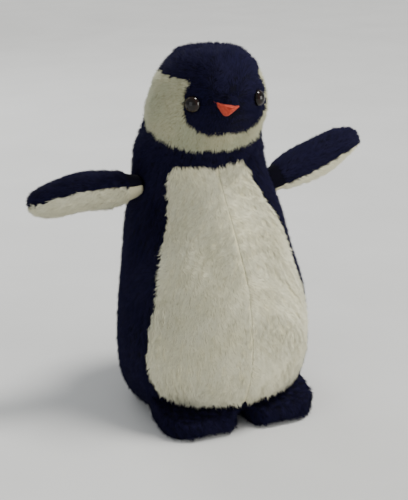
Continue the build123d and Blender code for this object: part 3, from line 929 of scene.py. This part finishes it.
def flipper(name):
    """Black upper and white under panel of one flipper, and their pile."""
    grid, turn = flipper_grid(name)
    rows, columns = grid.shape[:2]
    normals = grid_normals(grid)
    middle = grid.mean(axis=1, keepdims=True)
    if np.sum(normals * (grid - middle)) < 0:
        normals = -normals
    normals[-2:] = unit(normals[-2:] * 0.3 + flipper_frame(name)[0])
    points, normals = grid.reshape(-1, 3), normals.reshape(-1, 3)
    seam = np.abs(np.sin(np.tile(turn, rows))) * 9 * MM
    lumps = normals * waves(points, 30 * MM, 51)[:, :1] * 0.5 * MM
    points = points - normals * (valley(seam) * 0.8)[:, None] + lumps
    faces = grid_faces(rows, columns)
    a, b, c = (points[faces[:, k]] for k in (0, 1, 2))
    if np.sum(np.cross(b - a, c - a) * normals[faces[:, 0]]) < 0:
        faces = faces[:, ::-1]
    along, _, through = flipper_frame(name)
    ring_middle = np.repeat(middle.reshape(-1, 3), columns, axis=0)
    height = ((points - ring_middle) @ through)[faces].mean(axis=1)
    for panel, chosen, material, kind in (
        ("upper", height > FLIPPER_SEAM[name], BLACK, "black_plush"),
        ("under", height <= FLIPPER_SEAM[name], WHITE, "white_plush"),
    ):
        skin = shell(f"flipper_{panel}_skin_{name}", points, normals, faces[chosen], 0.7 * MM)
        panel_skin(skin, f"flipper_{panel}_{name}", material)
        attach(skin, f"flipper_{name}")
        label = f"flipper_{panel}_fur_{name}"
        roots, ups = scatter(points, normals, faces[chosen], DENSITY * 1.15, seeded(label + "_roots"))
        clear = (roots - joint_place(f"flipper_{name}_swing")) @ along > 3 * MM
        roots, ups = roots[clear], ups[clear]
        shift = waves(roots, 5 * MM, 52)
        combed = along + 0.25 * shift + np.array((0, 0, -0.25))
        length = np.full(len(roots), 3.9 * MM)
        obj = fur(label, roots, ups, combed, length, 0.62 * MM, 1.05, material, 53, ruffle=0.16)
        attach(obj, f"flipper_{name}")


flipper("left")
flipper("right")


# ---------------------------------------------------------------- feet and tail
def lobe(centre, sizes, power, heights, columns=72, rows=30):
    """A stuffed lobe: rounded-rectangle plan, rounded section. heights gives (bottom, top) at each Y."""
    angles = np.linspace(0, 2 * math.pi, columns, endpoint=False)
    corner = np.abs(np.cos(angles) / sizes[0]) ** power + np.abs(np.sin(angles) / sizes[1]) ** power
    reach = corner ** (-1 / power)
    grid = []
    for tilt in np.linspace(-math.pi / 2 + 0.02, math.pi / 2 - 0.02, rows):
        flat = math.cos(tilt) ** 0.55
        x = centre[0] + reach * np.cos(angles) * flat
        y = centre[1] + reach * np.sin(angles) * flat
        low, high = heights(y)
        lift = math.copysign(abs(math.sin(tilt)) ** 0.8, tilt)
        grid.append(np.stack([x, y, (low + high) / 2 + (high - low) / 2 * lift], -1))
    return np.array(grid)


LOBE_INSET = 1.4 * MM


def stuffed(name, grid, body, nodes, comb, length, seed, shown=None):
    """A furred black lobe on a body: its skin and its pile."""
    rows, columns = grid.shape[:2]
    flat = grid.reshape(-1, 3)
    middle = np.broadcast_to(flat.mean(axis=0), flat.shape)
    grid = onto_cad(flat, middle, tree_of(*nodes), 16 * MM, 12 * MM)
    grid = (grid - unit(grid - middle) * LOBE_INSET).reshape(rows, columns, 3)
    normals = grid_normals(grid)
    normals[:2], normals[-2:] = (0, 0, -1), (0, 0, 1)
    points, normals = grid.reshape(-1, 3), normals.reshape(-1, 3)
    faces = grid_faces(rows, columns)
    middle = points.mean(axis=0)
    if np.sum(normals * (points - middle)) < 0:
        normals = -normals
    skin = make_mesh(f"{name}_skin", points, faces)
    skin.data.materials.append(BLACK)
    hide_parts(*nodes)
    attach(skin, body)
    roots, ups = scatter(points, normals, faces, DENSITY, seeded(name + "_roots"))
    keep = shown(roots)
    roots, ups = roots[keep], ups[keep]
    obj = fur(f"{name}_fur", roots, ups, comb(roots), length, 0.64 * MM, 0.95, BLACK, seed)
    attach(obj, body)


def foot_heights(y):
    """Sole and instep of a foot, set in to the cloth."""
    slope = np.clip((y + 91 * MM) / (50 * MM), 0, 1)
    return np.full_like(y, 1.6 * MM), (15.5 + 5.0 * slope) * MM


for name, side in (("left", 1), ("right", -1)):
    low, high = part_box(f"foot_top_{name}")
    centre = ((low.x + high.x) / 2, (low.y + high.y) / 2)
    sizes = ((high.x - low.x) / 2 - SKIN_INSET, (high.y - low.y) / 2 - SKIN_INSET)
    stuffed(
        f"foot_{name}", lobe(centre, sizes, 2.7, foot_heights), f"foot_{name}",
        (f"foot_top_{name}", f"foot_sole_{name}"),
        lambda p: np.array((0, -1, -0.5)) + unit(p - np.array((*centre, 0.02))) * 0.6,
        4.2 * MM, 61, lambda p: (p[:, 2] > 3 * MM) & (p[:, 1] < -38 * MM),
    )

tail_low, tail_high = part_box("tail_under_panel")
tail_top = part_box("tail_top_panel")[1]
tail_front = tail_low.y
tail_tip = tail_high.y


def tail_heights(y):
    """Underside and top of the tail, which thins towards its tip."""
    slope = np.clip((y - tail_front) / (tail_tip - tail_front), 0, 1)
    return (tail_low.z + 0.8 * MM) + 0 * y, tail_top.z - (0.6 + 2.2 * slope) * MM


tail_sizes = (16 * MM, tail_tip - tail_front - 5 * MM)
stuffed(
    "tail", lobe((0, tail_front + 3 * MM), tail_sizes, 2.2, tail_heights), "torso",
    ("tail_top_panel", "tail_under_panel"), lambda p: np.tile((0.0, 1.0, -0.3), (len(p), 1)),
    4.0 * MM, 71, lambda p: p[:, 1] > tail_front - 6 * MM,
)


# ---------------------------------------------------------------- neck
neck_heights = np.arange(204.0, 213.1, 1.5) * MM
neck_points, neck_normals = figure_grid(neck_heights, 160, None, lambda p: np.full(len(p), 1.2 * MM), 0, 3)
neck_skin = shell("neck_skin", neck_points, neck_normals, grid_faces(len(neck_heights), 160), 0.6 * MM)
neck_skin.data.materials.append(BLACK)
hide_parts("neck_band")
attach(neck_skin, "neck")


# ---------------------------------------------------------------- floor, lights and camera
def floor_material():
    """Pale, faintly mottled studio paper."""
    material, shader, add, links = new_material("studio_paper")
    colour = ramp(add, blotches(add, 0.15), (0.3, (0.60, 0.60, 0.585)), (0.7, (0.64, 0.64, 0.625)))
    links.new(colour, shader.inputs["Base Color"])
    shader.inputs["Roughness"].default_value = 0.9
    return material


floor = make_mesh("floor", [(-30, -30, 0), (30, -30, 0), (30, 30, 0), (-30, 30, 0)], [(0, 1, 2, 3)])
floor.data.materials.append(floor_material())


def lamp(name, place, aim, size, power, colour):
    """A soft square light."""
    light = bpy.data.lights.new(name, "AREA")
    light.size, light.energy, light.color = size, power, colour
    obj = bpy.data.objects.new(name, light)
    obj.location = place
    obj.rotation_euler = (Vector(aim) - Vector(place)).to_track_quat("-Z", "Y").to_euler()
    bpy.context.collection.objects.link(obj)


MIDDLE = (0, 0, 0.15)
lamp("front", (1.3, -1.1, 0.45), MIDDLE, 0.9, 19, (1.0, 0.98, 0.92))
lamp("fill", (-1.3, -0.9, 0.6), MIDDLE, 1.2, 6, (0.92, 0.97, 1.0))
lamp("rim", (-0.3, 1.3, 1.0), MIDDLE, 0.9, 8, (0.95, 0.97, 1.0))

sky = bpy.data.lights.new("sky", "SUN")
sky.energy, sky.angle, sky.color = 3.0, math.radians(16), (1.0, 0.985, 0.95)
sky_lamp = bpy.data.objects.new("sky", sky)
sky_lamp.rotation_euler = Vector((-0.42, 0.08, -1.0)).to_track_quat("-Z", "Y").to_euler()
bpy.context.collection.objects.link(sky_lamp)

world = bpy.data.worlds.new("studio")
world.use_nodes = True
world.node_tree.nodes["Background"].inputs["Color"].default_value = (0.80, 0.82, 0.85, 1)
world.node_tree.nodes["Background"].inputs["Strength"].default_value = 0.58
bpy.context.scene.world = world

CAMERA_AZIMUTH = math.radians(-20)
CAMERA_ELEVATION = math.radians(19)
CAMERA_ROLL = math.radians(-1.2)
CAMERA_DISTANCE = 0.9
CAMERA_AIM = Vector((0, -0.010, 0.138))
AIM_RIGHT = 4.5 * MM  # the view's middle lies this far left of the aim and below it
AIM_DOWN = 11.4 * MM


def set_camera():
    """A camera a little above the penguin and to its right, upright but for a slight roll."""
    az, el = CAMERA_AZIMUTH, CAMERA_ELEVATION
    back = Vector((math.sin(az) * math.cos(el), -math.cos(az) * math.cos(el), math.sin(el)))
    right = Vector((math.cos(az), math.sin(az), 0))
    up = back.cross(right)
    place = CAMERA_AIM + back * CAMERA_DISTANCE
    aim = CAMERA_AIM - right * AIM_RIGHT - up * AIM_DOWN
    data = bpy.data.cameras.new("camera")
    data.sensor_fit = "VERTICAL"
    data.sensor_height = 36
    data.lens = 79.9
    data.clip_start, data.clip_end = 0.02, 40
    obj = bpy.data.objects.new("camera", data)
    turn = (aim - place).to_track_quat("-Z", "Y").to_matrix().to_4x4()
    obj.matrix_world = Matrix.Translation(place) @ turn @ Matrix.Rotation(CAMERA_ROLL, 4, "Z")
    bpy.context.collection.objects.link(obj)
    bpy.context.scene.camera = obj


set_camera()
